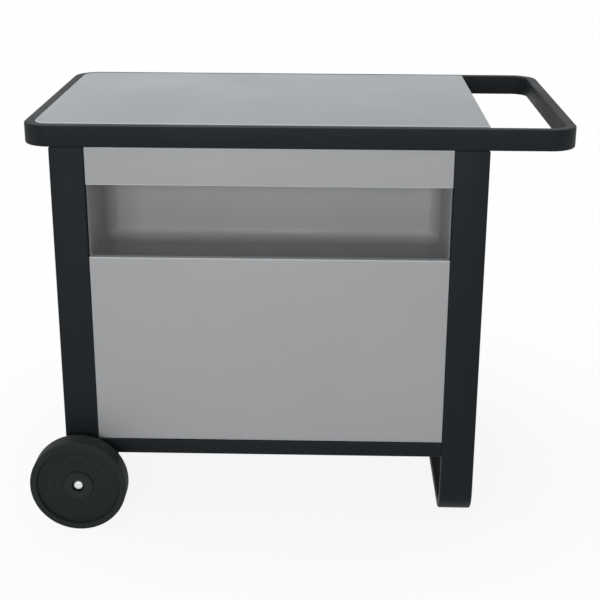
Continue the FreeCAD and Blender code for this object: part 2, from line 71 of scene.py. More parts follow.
def select_only(*pieces):
    """Selects these pieces and makes the first one active."""
    clear_selection()
    for piece in pieces:
        piece.select_set(True)
    bpy.context.view_layer.objects.active = pieces[0]


def edit(piece):
    select_only(piece)
    bpy.ops.object.mode_set(mode="EDIT")


def leave_edit():
    bpy.ops.object.mode_set(mode="OBJECT")


def middle(part):
    """The middle of an edge or a face."""
    return sum((corner.co for corner in part.verts), Vector()) / len(part.verts)


def near(value, target):
    return abs(value - target) < SLACK


def pick(piece, kind, test):
    """Selects only the corners, edges or faces that pass the test, and says how many."""
    bpy.context.tool_settings.mesh_select_mode = [kind == each for each in ("VERT", "EDGE", "FACE")]
    bpy.ops.mesh.select_all(action="DESELECT")
    mesh = bmesh.from_edit_mesh(piece.data)
    mesh.select_mode = {kind}
    found = 0
    for part in {"VERT": mesh.verts, "EDGE": mesh.edges, "FACE": mesh.faces}[kind]:
        if test(part):
            part.select_set(True)
            found += 1
    mesh.select_flush_mode()
    bmesh.update_edit_mesh(piece.data)
    return found


print("helpers for selecting are ready")

# %% [markdown]
# ## Starting and finishing a piece
# A block is the cube primitive, added at its size and place and then applied, so that its object
# stays at the origin. A plate is the plane primitive, a sleeve the cylinder. Modifiers are
# applied at once, and a finished piece looks outwards all round.
# %% Helpers for starting a piece
UP = Vector((0, 0, 1))


def applied(name):
    piece = bpy.context.object
    bpy.ops.object.transform_apply(location=True, rotation=True, scale=True)
    piece.name = name
    piece.data.name = name
    return piece


def start_block(name, low, high):
    clear_selection()
    bpy.ops.mesh.primitive_cube_add(size=1, location=(low + high) / 2, scale=high - low)
    return applied(name)


def start_plate(name, centre, size, turn=(0, 0, 0)):
    clear_selection()
    bpy.ops.mesh.primitive_plane_add(size=1, location=centre, rotation=turn)
    bpy.context.object.scale = (size[0], size[1], 1)
    return applied(name)


def start_cylinder(name, centre, radius, depth, sides, direction):
    clear_selection()
    turn = UP.rotation_difference(direction).to_euler()
    bpy.ops.mesh.primitive_cylinder_add(vertices=sides, radius=radius, depth=depth,
                                        location=centre, rotation=turn)
    return applied(name)


print("helpers for starting are ready")

# %% Helpers for finishing a piece
EDGE_SEGMENTS = 4
FINE_SEGMENTS = 2
SHARP_DEGREES = 50
SMOOTH_DEGREES = 35
MERGE_LENGTH = 0.00001


def outward(piece):
    edit(piece)
    bpy.ops.mesh.select_all(action="SELECT")
    bpy.ops.mesh.remove_doubles(threshold=MERGE_LENGTH)
    bpy.ops.mesh.normals_make_consistent(inside=False)
    leave_edit()


def with_modifier(piece, kind, **settings):
    select_only(piece)
    modifier = piece.modifiers.new(kind.lower(), kind)
    for key, value in settings.items():
        setattr(modifier, key, value)
    bpy.ops.object.modifier_apply(modifier=modifier.name)


def rounded(piece, width, segments=EDGE_SEGMENTS):
    """Rounds every sharp edge, as a drawn tube or a folded sheet has it."""
    with_modifier(piece, "BEVEL", width=width, segments=segments, limit_method="ANGLE",
                  angle_limit=math.radians(SHARP_DEGREES), harden_normals=False,
                  use_clamp_overlap=True)


def smooth(piece, degrees=SMOOTH_DEGREES):
    select_only(piece)
    bpy.ops.object.shade_smooth_by_angle(angle=math.radians(degrees))


print("helpers for finishing are ready")

# %% [markdown]
# ## Grain of a powder coat
# Powder coat is sprayed on as dust and melted, so it keeps a fine pebbled skin and a slow
# waviness that painters call orange peel. Both belong on every painted piece, so they are one
# shader node group with its own inputs. The group puts out two masks and a height; the Principled
# shader and its plain numbers stay in each material.
# %% The powder coat group
PEBBLE_DETAIL, PEEL_DETAIL, CLOUD_DETAIL = 2.0, 1.0, 3.0


def new_group(name, inputs, outputs):
    group = bpy.data.node_groups.new(name, "ShaderNodeTree")
    for label, value in inputs:
        socket = group.interface.new_socket(name=label, in_out="INPUT",
                                            socket_type="NodeSocketFloat")
        socket.default_value = value
    for label in outputs:
        group.interface.new_socket(name=label, in_out="OUTPUT", socket_type="NodeSocketFloat")
    return group


def node(tree, kind, **values):
    made = tree.nodes.new(kind)
    for key, value in values.items():
        made.inputs[key].default_value = value
    return made


def math_node(tree, operation, first, second):
    made = tree.nodes.new("ShaderNodeMath")
    made.operation = operation
    for slot, value in enumerate((first, second)):
        if isinstance(value, (int, float)):
            made.inputs[slot].default_value = value
        else:
            tree.links.new(value, made.inputs[slot])
    return made.outputs[0]


def build_powder_group():
    group = new_group("powder_grain", [("Pebble Scale", 900.0), ("Peel Scale", 160.0),
                                       ("Cloud Scale", 5.0), ("Peel Share", 0.5)],
                      ["Speck", "Cloud", "Height"])
    links = group.links
    entry = group.nodes.new("NodeGroupInput")
    leave = group.nodes.new("NodeGroupOutput")
    place = group.nodes.new("ShaderNodeTexCoord")
    textures = {}
    for label, detail in (("Pebble Scale", PEBBLE_DETAIL), ("Peel Scale", PEEL_DETAIL),
                          ("Cloud Scale", CLOUD_DETAIL)):
        noise = node(group, "ShaderNodeTexNoise", Detail=detail)
        links.new(place.outputs["Object"], noise.inputs["Vector"])
        links.new(entry.outputs[label], noise.inputs["Scale"])
        textures[label] = noise.outputs["Fac"]
    peel = math_node(group, "MULTIPLY", textures["Peel Scale"], entry.outputs["Peel Share"])
    height = math_node(group, "ADD", textures["Pebble Scale"], peel)
    links.new(textures["Pebble Scale"], leave.inputs["Speck"])
    links.new(textures["Cloud Scale"], leave.inputs["Cloud"])
    links.new(height, leave.inputs["Height"])
    return group


POWDER = build_powder_group()
print("group:", POWDER.name)

# %% [markdown]
# ## Worn edges and painted fold shading
# Corners that hands and shoes rub turn a little paler. The group reads how sharply the surface
# bends (pointiness) for that. Folds get painted light: a fine pale line on the round of a fold is
# a painted highlight. Panels stand square to the cart, so a fold is where the surface looks
# between two of the axes. Inside the bin it is the other way round: its rounded inside corners
# get a darker colour, a painted shade.
# %% The group for worn edges and painted fold shading
FOLD_SHADING_SPAN = (0.02, 0.12)


def build_wear_and_fold_shading_group():
    group = new_group("edge_wear_and_fold_shading", [("Edge Start", 0.53), ("Edge End", 0.62),
                                        ("Fold Start", FOLD_SHADING_SPAN[0]), ("Fold End", FOLD_SHADING_SPAN[1])],
                      ["Edge", "Fold"])
    links = group.links
    entry = group.nodes.new("NodeGroupInput")
    leave = group.nodes.new("NodeGroupOutput")
    geometry = group.nodes.new("ShaderNodeNewGeometry")
    facing = group.nodes.new("ShaderNodeSeparateXYZ")
    links.new(geometry.outputs["Normal"], facing.inputs[0])
    along = [math_node(group, "ABSOLUTE", facing.outputs[axis], 0.0) for axis in "XYZ"]
    squarest = math_node(group, "MAXIMUM", along[0], along[1])
    squarest = math_node(group, "MAXIMUM", squarest, along[2])
    turned = math_node(group, "SUBTRACT", 1.0, squarest)
    # Edge marks worn edges; Fold marks the rounds of folds, which carry painted highlight and
    # painted shade.
    for label, value in (("Edge", geometry.outputs["Pointiness"]), ("Fold", turned)):
        mask = group.nodes.new("ShaderNodeMapRange")
        links.new(value, mask.inputs["Value"])
        links.new(entry.outputs[label + " Start"], mask.inputs["From Min"])
        links.new(entry.outputs[label + " End"], mask.inputs["From Max"])
        links.new(mask.outputs[0], leave.inputs[label])
    return group


WEAR_AND_FOLD_SHADING = build_wear_and_fold_shading_group()
print("group:", WEAR_AND_FOLD_SHADING.name)


# %% Helpers for building a material
def start_material(name):
    material = bpy.data.materials.new(name)
    material.use_nodes = True
    tree = material.node_tree
    shader = next(n for n in tree.nodes if n.type == "BSDF_PRINCIPLED")
    return material, tree, shader


def placed(tree, group, **values):
    made = tree.nodes.new("ShaderNodeGroup")
    made.node_tree = group
    for key, value in values.items():
        made.inputs[key.replace("_", " ")].default_value = value
    return made


def blended(tree, factor, first, second):
    """A colour between two others; each may be a plain colour or a link."""
    mix = tree.nodes.new("ShaderNodeMix")
    mix.data_type = "RGBA"
    tree.links.new(factor, mix.inputs["Factor"])
    for slot, value in ((mix.inputs[6], first), (mix.inputs[7], second)):
        if isinstance(value, tuple):
            slot.default_value = (*value, 1.0)
        else:
            tree.links.new(value, slot)
    return mix.outputs[2]


def ranged(tree, value, low, high, span=(0.0, 1.0)):
    """Takes a value's span from one range to another."""
    made = node(tree, "ShaderNodeMapRange")
    tree.links.new(value, made.inputs["Value"])
    for label, number in zip(("From Min", "From Max", "To Min", "To Max"), (*span, low, high)):
        made.inputs[label].default_value = number
    return made.outputs[0]


def bumped(tree, shader, height, distance, strength):
    bump = node(tree, "ShaderNodeBump", Distance=distance, Strength=strength)
    tree.links.new(height, bump.inputs["Height"])
    tree.links.new(bump.outputs["Normal"], shader.inputs["Normal"])


def srgb(red, green, blue):
    """Colours are named by what a screen shows, 0 to 255, and given to the shader as light."""
    def light(value):
        share = value / 255
        return share / 12.92 if share <= 0.04045 else ((share + 0.055) / 1.055) ** 2.4
    return light(red), light(green), light(blue)


print("helpers for materials are ready")

# %% [markdown]
# ## Painted metal
# One function makes every painted finish. The colour drifts slowly over the sheet and carries tiny
# specks, folds get painted light (a painted highlight outside, painted shade inside the bin), and
# the roughness follows the same clouds.
# %% Painted finishes
SPECK_SHARE, SPECK_SPAN = 0.55, (0.45, 0.8)
CLOUD_SHARE, CLOUD_SPAN, CLOUD_SHADE = 0.35, (0.35, 0.75), 0.93
SMOOTHER, ROUGHER, ROUGH_SPAN = 0.05, 0.07, (0.3, 0.7)


def painted(name, colour, speck_colour, fold_shading_colour, rough, grain, specular=0.5, fold_shading_share=0.0,
            fold_shading_span=FOLD_SHADING_SPAN):
    material, tree, shader = start_material(name)
    powder = placed(tree, POWDER, Pebble_Scale=grain)
    wear_and_fold_shading = placed(tree, WEAR_AND_FOLD_SHADING, Fold_Start=fold_shading_span[0], Fold_End=fold_shading_span[1])
    specks = ranged(tree, powder.outputs["Speck"], 0.0, SPECK_SHARE, SPECK_SPAN)
    paint = blended(tree, specks, colour, speck_colour)
    clouds = ranged(tree, powder.outputs["Cloud"], 0.0, CLOUD_SHARE, CLOUD_SPAN)
    paint = blended(tree, clouds, paint, tuple(c * CLOUD_SHADE for c in colour))
    # Painted light on folds: a paler fold colour is a painted highlight, a darker one painted
    # shade.
    fold_shading_mask = ranged(tree, wear_and_fold_shading.outputs["Fold"], 0.0, fold_shading_share)
    paint = blended(tree, fold_shading_mask, paint, fold_shading_colour)
    tree.links.new(paint, shader.inputs["Base Color"])
    skin = ranged(tree, powder.outputs["Cloud"], rough - SMOOTHER, rough + ROUGHER, ROUGH_SPAN)
    tree.links.new(skin, shader.inputs["Roughness"])
    shader.inputs["Specular IOR Level"].default_value = specular
    bumped(tree, shader, powder.outputs["Height"], distance=0.00006, strength=0.6)
    return material


# The pale fold colours of the frame, the table and the panels are painted highlights on their
# rounds.
FRAME_BLACK = painted("frame_black", srgb(27, 31, 34), srgb(37, 41, 44), srgb(62, 65, 67),
                      rough=0.52, grain=1100.0, specular=0.1, fold_shading_share=0.1)
TABLE_GREY = painted("table_grey", srgb(153, 158, 161), srgb(164, 168, 171), srgb(214, 217, 220),
                     rough=0.46, grain=1300.0, specular=0.2, fold_shading_share=0.8)
PANEL_GREY = painted("panel_grey", srgb(170, 172, 174), srgb(180, 182, 184), srgb(236, 238, 240),
                     rough=0.48, grain=1300.0, specular=0.35, fold_shading_share=0.8)
# The bin's darker fold colour is painted shade in its rounded inside corners.
INNER_GREY = painted("inner_grey", srgb(172, 174, 176), srgb(180, 182, 184), srgb(158, 160, 162),
                     rough=0.5, grain=1300.0, fold_shading_share=1.0, fold_shading_span=(0.002, 0.03))
print("painted finishes:", [m.name for m in (FRAME_BLACK, TABLE_GREY, PANEL_GREY, INNER_GREY)])

# %% [markdown]
# ## Moulded plastic and bare metal
# The wheel is moulded in one plastic that is slightly mottled and has a fine spark-eroded skin.
# The axle, its caps and the fasteners are plated steel: a metal whose shine is a little cloudy.
# %% Plastic and plated finishes
MOTTLE_SHARE, MOTTLE_SPAN = 0.6, (0.3, 0.8)
RUBBED_SHARE, RUBBED_PLASTIC = 0.3, srgb(88, 92, 92)
SKIN_SMOOTHER, SKIN_ROUGHER = 0.06, 0.08
PLASTIC_SPECULAR = 0.12
DULL_SHARE, DULL_SPAN, DULL_ROUGHER = 0.5, (0.35, 0.7), 0.12


def moulded(name, colour, pale, rough):
    material, tree, shader = start_material(name)
    powder = placed(tree, POWDER, Pebble_Scale=1500.0, Peel_Scale=420.0, Cloud_Scale=14.0)
    wear_and_fold_shading = placed(tree, WEAR_AND_FOLD_SHADING)
    mottle = ranged(tree, powder.outputs["Cloud"], 0.0, MOTTLE_SHARE, MOTTLE_SPAN)
    paint = blended(tree, mottle, colour, pale)
    rubbed = ranged(tree, wear_and_fold_shading.outputs["Edge"], 0.0, RUBBED_SHARE)
    paint = blended(tree, rubbed, paint, RUBBED_PLASTIC)
    tree.links.new(paint, shader.inputs["Base Color"])
    skin = ranged(tree, powder.outputs["Speck"], rough - SKIN_SMOOTHER, rough + SKIN_ROUGHER,
                  ROUGH_SPAN)
    tree.links.new(skin, shader.inputs["Roughness"])
    shader.inputs["Specular IOR Level"].default_value = PLASTIC_SPECULAR
    bumped(tree, shader, powder.outputs["Height"], distance=0.00012, strength=0.7)
    return material


def plated(name, colour, dull, rough, metallic=1.0):
    material, tree, shader = start_material(name)
    powder = placed(tree, POWDER, Pebble_Scale=2500.0, Peel_Scale=300.0, Cloud_Scale=60.0)
    cloudy = ranged(tree, powder.outputs["Cloud"], 0.0, DULL_SHARE, DULL_SPAN)
    tree.links.new(blended(tree, cloudy, colour, dull), shader.inputs["Base Color"])
    shader.inputs["Metallic"].default_value = metallic
    skin = ranged(tree, powder.outputs["Cloud"], rough, rough + DULL_ROUGHER, ROUGH_SPAN)
    tree.links.new(skin, shader.inputs["Roughness"])
    bumped(tree, shader, powder.outputs["Height"], distance=0.00002, strength=0.4)
    return material


WHEEL_BLACK = moulded("wheel_black", srgb(31, 35, 36), srgb(37, 41, 42), rough=0.55)
CAP_CHROME = plated("cap_chrome", srgb(240, 241, 242), srgb(222, 224, 226), rough=0.3,
                    metallic=0.35)
AXLE_STEEL = plated("axle_steel", srgb(188, 190, 192), srgb(150, 152, 155), rough=0.28)
FASTENER_STEEL = plated("fastener_steel", srgb(176, 178, 180), srgb(140, 142, 145), rough=0.32)
print("plastic and plated finishes are ready")

# %% [markdown]
# ## Handing a piece over
# Every new piece rides on a body of the cart, takes a finish from the record's slots, and stands
# for the solids it replaces. One function keeps these three facts together.
# %% Handing over
FINISHES = {"frame_black": FRAME_BLACK, "table_grey": TABLE_GREY, "panel_grey": PANEL_GREY,
            "inner_grey": INNER_GREY, "wheel_black": WHEEL_BLACK, "cap_chrome": CAP_CHROME,
            "axle_steel": AXLE_STEEL, "fastener_steel": FASTENER_STEEL}
DRESSED = []


def hand_over(piece, body, slot, *nodes):
    clear_selection()
    piece.data.materials.clear()
    piece.data.materials.append(FINISHES[slot])
    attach(piece, body)
    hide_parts(*nodes)
    DRESSED.append(piece.name)
    print(piece.name, "faces:", len(piece.data.polygons), "for:", nodes)


print("slots with a finish:", len(FINISHES))

# %% [markdown]
# ## The top loop and handle
# On the real cart one flat tube runs round the table and out to the handle. It could be a curve
# with a bevel, but a curve gives little control of its section. Here a flat plate gets its four
# corners rounded by a corner bevel, is inset by the width of the tube, loses its middle and is
# extruded to the height. A bevel on the sharp edges gives the drawn round corners that catch the
# light.
# %% Top loop
ARC_SEGMENTS = 12
TUBE_ROUND = 0.003
LOOP_BEND = 0.052
RAIL_WIDE = 0.02


def hollow_plate(plate, bend, corner_test):
    """Rounds the chosen corners, insets the plate by the tube's width and drops its middle."""
    edit(plate)
    pick(plate, "VERT", corner_test)
    bpy.ops.mesh.bevel(offset=bend, segments=ARC_SEGMENTS, affect="VERTICES")
    bpy.context.tool_settings.mesh_select_mode = (False, False, True)
    bpy.ops.mesh.select_all(action="SELECT")
    bpy.ops.mesh.inset(thickness=RAIL_WIDE, use_even_offset=True)
    bpy.ops.mesh.delete(type="FACE")


def extrude(*move):
    bpy.ops.mesh.extrude_region_move(TRANSFORM_OT_translate={"value": move})


def finished_tube(piece, move, source):
    """Extrudes the outline of a bent tube to its full width, rounds it and hands it over."""
    bpy.ops.mesh.select_all(action="SELECT")
    extrude(*move)
    outward(piece)
    rounded(piece, TUBE_ROUND)
    smooth(piece)
    hand_over(piece, "cart_frame", "frame_black", source)


loop_low, loop_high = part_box("top_rail_loop")
loop_size = loop_high - loop_low
loop = start_plate("top_loop", Vector(((loop_low.x + loop_high.x) / 2, 0, loop_low.z)),
                   (loop_size.x, loop_size.y))
hollow_plate(loop, LOOP_BEND, lambda corner: True)
finished_tube(loop, (0, 0, loop_size.z), "top_rail_loop")

# %% [markdown]
# ## The two leg frames
# Each frame is a flat tube bent into a U: down the front, under the body, up the back. The plate
# stands upright across the cart and starts taller than the frame. Its two lower corners are
# rounded, the top run is cut off with a bisect, and the U is extruded to the width of the tube.
# %% Leg frames
LEG_BEND = 0.06
LEG_SPARE = 2 * RAIL_WIDE


def cut_across(place, way, **settings):
    """Cuts the whole mesh where a plane meets it."""
    bpy.ops.mesh.select_all(action="SELECT")
    bpy.ops.mesh.bisect(plane_co=place, plane_no=way, **settings)


def leg_frame(name, source):
    low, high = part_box(source)
    top = high.z + LEG_SPARE
    legs = start_plate(name, Vector((low.x, 0, (low.z + top) / 2)),
                       (top - low.z, high.y - low.y), (0, math.pi / 2, 0))
    hollow_plate(legs, LEG_BEND, lambda corner: corner.co.z < low.z + RAIL_WIDE)
    cut_across((0, 0, high.z), UP, clear_outer=True)
    finished_tube(legs, (high.x - low.x, 0, 0), source)


leg_frame("leg_frame_left", "left_leg_frame")
leg_frame("leg_frame_right", "right_leg_frame")

# %% [markdown]
# ## Straight rails
# The lower rails and the rails under the table are short straight tubes. Each starts as a block
# of the rail's own size with its edges rounded. Its two ends get an inset and a push inwards,
# where the saw cut leaves the tube open.
# %% Rails
X, Y, Z = 0, 1, 2
SQUARE = 0.99
RAILS = {"bottom_rail_front": X, "bottom_rail_back": X, "side_rail_left": Y, "side_rail_right": Y,
         "cross_rail_left": Y, "cross_rail_right": Y, "centre_rail_front": X, "centre_rail_back": X}
TUBE_WALL = 0.0015
RAIL_ROUND = 0.002
RAIL_END_LEAST = 0.0003
BORE_DRAFT, BORE_DEPTH = 0.0001, 0.02


def rail(source, axis):
    piece = start_block("tube_" + source, *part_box(source))
    rounded(piece, RAIL_ROUND)
    edit(piece)
    pick(piece, "FACE", lambda face: abs(face.normal[axis]) > SQUARE
         and face.calc_area() > RAIL_END_LEAST)
    bpy.ops.mesh.inset(thickness=TUBE_WALL, use_individual=True)
    bpy.ops.mesh.inset(thickness=BORE_DRAFT, depth=-BORE_DEPTH, use_individual=True)
    leave_edit()
    smooth(piece)
    hand_over(piece, "cart_frame", "frame_black", source)


for source, axis in RAILS.items():
    rail(source, axis)

# %% [markdown]
# ## The table top
# A sheet folded down on all sides lies in the loop and ends in line with the right leg frame. It
# starts as a block; its two left corners follow the bend of the loop, the bottom is taken off,
# the top edge is folded with a small round, and Solidify gives the sheet its thickness inwards.
# The rails under it pass through notches in the fold: two cuts at each rail, and the faces
# between them are deleted.
# %% Table top
AXES = (Vector((1, 0, 0)), Vector((0, 1, 0)), Vector((0, 0, 1)))
SHEET = 0.0012
FOLD_ROUND = 0.0022
TABLE_GAP = 0.0003
NOTCH_GAP = 0.001


def drop_faces(piece, test):
    found = pick(piece, "FACE", test)
    bpy.ops.mesh.delete(type="FACE")
    return found


def thickened(piece, thickness):
    with_modifier(piece, "SOLIDIFY", thickness=thickness, offset=-1, use_even_offset=True)


top_low, top_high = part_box("table_top")
table = start_block("table_sheet", top_low, top_high)
edit(table)
pick(table, "EDGE", lambda edge: near(middle(edge).x, top_low.x)
     and near(middle(edge).z, (top_low.z + top_high.z) / 2))
bpy.ops.mesh.bevel(offset=LOOP_BEND - RAIL_WIDE - TABLE_GAP, segments=ARC_SEGMENTS)
drop_faces(table, lambda face: near(middle(face).z, top_low.z))
rounded(table, FOLD_ROUND)
edit(table)
for source in ("cross_rail_left", "cross_rail_right"):
    rail_low, rail_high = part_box(source)
    sides = (rail_low.x - NOTCH_GAP, rail_high.x + NOTCH_GAP)
    for side in sides:
        cut_across((side, 0, 0), AXES[X])
    print("notched faces:", drop_faces(table, lambda face: abs(face.normal.y) > SQUARE
                                       and sides[0] < middle(face).x < sides[1]))
leave_edit()
thickened(table, SHEET)
smooth(table)
hand_over(table, "cart_frame", "table_grey", "table_top")

# %% [markdown]
# ## The storage bin
# The tub behind the slot is drawn from one sheet, so its inside corners are large and smooth. The
# block has the round edges bevelled and loses its top and the open part of its front.
# %% Storage bin
BIN_ROUND, BIN_SEGMENTS = 0.0292, 10
BIN_WALL_TOP = 0.758
PANEL_GAP = 0.0002
EAR_GAP = 0.0015
HANGER_INSET = 0.06

bin_low, bin_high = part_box("storage_bin")
panel_low, panel_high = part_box("lower_front_panel")
slot_low, slot_high = panel_high.z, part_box("front_fascia")[0].z
bin_front = panel_high.y + PANEL_GAP
wall_middle = (bin_low.z + BIN_WALL_TOP) / 2


def drawn_corner(edge):
    """An upright edge at the bin's back, or an edge of its floor but the front one."""
    at = middle(edge)
    return (near(at.y, bin_high.y) and near(at.z, wall_middle)
            or near(at.z, bin_low.z) and not near(at.y, bin_front))


tub = start_block("drawn_bin", Vector((bin_low.x, bin_front, bin_low.z)),
                  Vector((bin_high.x, bin_high.y, BIN_WALL_TOP)))
edit(tub)
pick(tub, "EDGE", drawn_corner)
bpy.ops.mesh.bevel(offset=BIN_ROUND, segments=BIN_SEGMENTS)
drop_faces(tub, lambda face: near(middle(face).z, BIN_WALL_TOP))
for level in (slot_low - EAR_GAP, slot_low + EAR_GAP, slot_high - EAR_GAP):
    cut_across((0, 0, level), UP)
for side in (bin_low.x + HANGER_INSET, bin_high.x - HANGER_INSET):
    cut_across((side, 0, 0), AXES[X])
drop_faces(tub, lambda face: near(middle(face).y, bin_front)
           and middle(face).z > slot_low - EAR_GAP)
print("bin faces before its ears:", len(bmesh.from_edit_mesh(tub.data).faces))

# %% [markdown]
# ## Ears and hanger of the bin
# The ears close the sides of the slot and the hanger reaches up to a rail. Both are single edges,
# extruded. The open sheet is turned to look outwards, because Solidify gives it its thickness
# towards the other side. Then the inner corners of the ears' front edges are drawn back, which
# gives them the slope of a trimmed and dressed edge.
# %% Open edges and the outer side
def open_edge(edge):
    return len(edge.link_faces) == 1


def runs_along(edge, axis, least):
    """Whether an edge goes along an axis for more than some length."""
    return abs(edge.verts[0].co[axis] - edge.verts[1].co[axis]) > least


def lowest(faces):
    return min(faces, key=lambda face: face.center.z)


def facing_out(piece, choose, way):
    """Turns an open sheet so that one chosen face looks the given way."""
    outward(piece)
    if choose(piece.data.polygons).normal.dot(way) < 0:
        edit(piece)
        bpy.ops.mesh.select_all(action="SELECT")
        bpy.ops.mesh.flip_normals()
        leave_edit()


print("open edges of the bin:", sum(map(open_edge, bmesh.from_edit_mesh(tub.data).edges)))

# %% Ears and hanger
EAR_SETBACK = 0.0025
EAR_LEAST = 0.05
EAR_SLOPE = 0.006
HANGER_LEAST = 0.3

pick(tub, "EDGE", lambda edge: open_edge(edge) and near(middle(edge).y, bin_front)
     and slot_low < middle(edge).z < slot_high and runs_along(edge, Z, EAR_LEAST))
ear_front = panel_low.y + EAR_SETBACK
extrude(0, ear_front - bin_front, 0)
pick(tub, "EDGE", lambda edge: open_edge(edge) and near(middle(edge).z, BIN_WALL_TOP)
     and near(middle(edge).y, bin_high.y) and edge.calc_length() > HANGER_LEAST)
extrude(0, 0, bin_high.z - BIN_WALL_TOP)
facing_out(tub, lowest, -UP)
thickened(tub, SHEET)
edit(tub)
sloped = pick(tub, "VERT", lambda corner: near(corner.co.y, ear_front)
              and bin_low.x + SHEET / 2 < corner.co.x < bin_high.x - SHEET / 2)
bpy.ops.transform.translate(value=(0, EAR_SLOPE, 0))
leave_edit()
print("sloped ear corners:", sloped)
smooth(tub)
hand_over(tub, "cart_frame", "inner_grey", "storage_bin")

# %% [markdown]
# ## The wheels
# Each wheel is one moulding: a tread with three grooves, a flat face with fine rings, a pocket
# for the axle's cap and ribs at its back. A cylinder gives the disc. Cuts round the tread, drawn
# in, make the grooves. Insets of the two flat faces draw the rings: each pair of numbers is how
# far the face shrinks and how far it then stands out or in.
# %% Wheel disc
FRONT, BACK = Vector((0, -1, 0)), Vector((0, 1, 0))
WHEEL_RADIUS, WHEEL_SIDES, WHEEL_HALF = 0.095, 128, 0.02
TREAD_GROOVES = (-0.010, 0.0, 0.010)
GROOVE_EDGES = (-0.0018, -0.0010, 0.0010, 0.0018)
GROOVE_HALF = 0.0009
GROOVE_DRAW = 0.984
TREAD_ROUND, TREAD_SEGMENTS = 0.003, 3


def wheel_disc(name, source, out):
    low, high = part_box(source)
    centre = (low + high) / 2
    face_y = low.y if out.y < 0 else high.y
    centre.y = face_y - out.y * WHEEL_HALF
    centre.z = WHEEL_RADIUS
    disc = start_cylinder(name, centre, WHEEL_RADIUS, 2 * WHEEL_HALF, WHEEL_SIDES, out)
    edit(disc)
    for groove in TREAD_GROOVES:
        for offset in GROOVE_EDGES:
            cut_across((0, centre.y + groove + offset, 0), AXES[Y])
    for groove in TREAD_GROOVES:
        pick(disc, "FACE", lambda face: near(face.normal.y, 0)
             and abs(middle(face).y - centre.y - groove) < GROOVE_HALF)
        bpy.ops.transform.resize(value=(GROOVE_DRAW, 1, GROOVE_DRAW), center_override=centre)
    pick(disc, "EDGE", lambda edge: all(near(abs(corner.co.y - centre.y), WHEEL_HALF)
                                        for corner in edge.verts))
    bpy.ops.mesh.bevel(offset=TREAD_ROUND, segments=TREAD_SEGMENTS)
    return disc, centre


print("the disc of a wheel is ready to be made")

# %% Rings of the wheel's two faces
FINE_RING = ((0.0006, 0.001), (0.002, 0.0), (0.0006, -0.001))
FACE_RINGS = ((0.0095, 0.0), (0.002, -0.006), (0.014, 0.0), *FINE_RING, (0.014, 0.0), *FINE_RING,
              (0.016, 0.0), (0.0015, 0.003), (0.015, 0.0), (0.0006, -0.0005), (0.0002, -0.009))
BACK_RINGS = ((0.001, 0.0), (0.0005, -0.030), (0.0695, 0.0), (0.0006, 0.0))
FLAT_FACE_CORNERS = 20


def ring_push(disc, way, level, steps):
    """Insets the flat face that looks one way again and again, each time with its own push."""
    pick(disc, "FACE", lambda face: face.normal.dot(way) > SQUARE and near(middle(face).y, level)
         and len(face.verts) > FLAT_FACE_CORNERS)
    for thickness, depth in steps:
        bpy.ops.mesh.inset(thickness=thickness, depth=depth, use_even_offset=False)


discs = []
for name, source, body, out in (("wheel_front_moulding", "wheel_front", "front_wheel", FRONT),
                                ("wheel_back_moulding", "wheel_back", "back_wheel", BACK)):
    disc, centre = wheel_disc(name, source, out)
    ring_push(disc, out, centre.y + out.y * WHEEL_HALF, FACE_RINGS)
    ring_push(disc, -out, centre.y - out.y * WHEEL_HALF, BACK_RINGS)
    leave_edit()
    discs.append((disc, centre, out, body, source))
    print(name, "faces:", len(disc.data.polygons))

# %% [markdown]
# ## Hub and ribs of the wheel
# Behind the face a long hub reaches to the leg and eight ribs tie it to the rim. One rib is
# modelled above the axle and copied, and each copy is turned round the axle to its own place. Hub
# and ribs are then joined to the disc.
# %% Hub and ribs
RIBS = 8
RIB_THICK, RIB_INNER, RIB_OUTER = 0.003, 0.014, 0.0915
RIB_LAP, RIB_ROUND = 0.001, 0.0005
HUB_RADIUS, HUB_REACH, HUB_ROUND = 0.017, 0.0277, 0.001
WEB_FROM_MIDDLE = 0.0105
SLEEVE_SIDES = 48
WHEEL_SMOOTH_DEGREES = 30


def joined(first, *others):
    select_only(first, *others)
    bpy.ops.object.join()
    return first


def wheel_hub(centre, out):
    web_y = centre.y + out.y * WEB_FROM_MIDDLE
    hub_end = centre.y - out.y * (WHEEL_HALF + HUB_REACH)
    hub = start_cylinder("hub", Vector((centre.x, (web_y + hub_end) / 2, centre.z)), HUB_RADIUS,
                         abs(web_y - hub_end), SLEEVE_SIDES, out)
    rounded(hub, HUB_ROUND, FINE_SEGMENTS)
    return hub


def wheel_ribs(centre, out):
    """The rib above the axle and its copies, each turned further round."""
    ends = sorted((centre.y + out.y * WEB_FROM_MIDDLE, centre.y - out.y * (WHEEL_HALF - RIB_LAP)))
    rib = start_block("rib", Vector((centre.x - RIB_THICK / 2, ends[0], centre.z + RIB_INNER)),
                      Vector((centre.x + RIB_THICK / 2, ends[1], centre.z + RIB_OUTER)))
    rounded(rib, RIB_ROUND, FINE_SEGMENTS)
    ribs = [rib]
    for number in range(1, RIBS):
        select_only(rib)
        bpy.ops.object.duplicate()
        copy = bpy.context.object
        edit(copy)
        bpy.ops.mesh.select_all(action="SELECT")
        bpy.ops.transform.rotate(value=2 * math.pi * number / RIBS, orient_axis="Y",
                                 center_override=centre)
        leave_edit()
        ribs.append(copy)
    return ribs


for disc, centre, out, body, source in discs:
    smooth(joined(disc, wheel_hub(centre, out), *wheel_ribs(centre, out)), WHEEL_SMOOTH_DEGREES)
    hand_over(disc, body, "wheel_black", source)

# %% [markdown]
# ## Axle caps
# A bright domed cap is pushed on each end of the axle. A short cylinder with its outer rim
# bevelled in several steps makes the dome.
# %% Axle caps
CAP_LENGTH = 0.007
CAP_DOME, CAP_SEGMENTS = 0.0035, 6

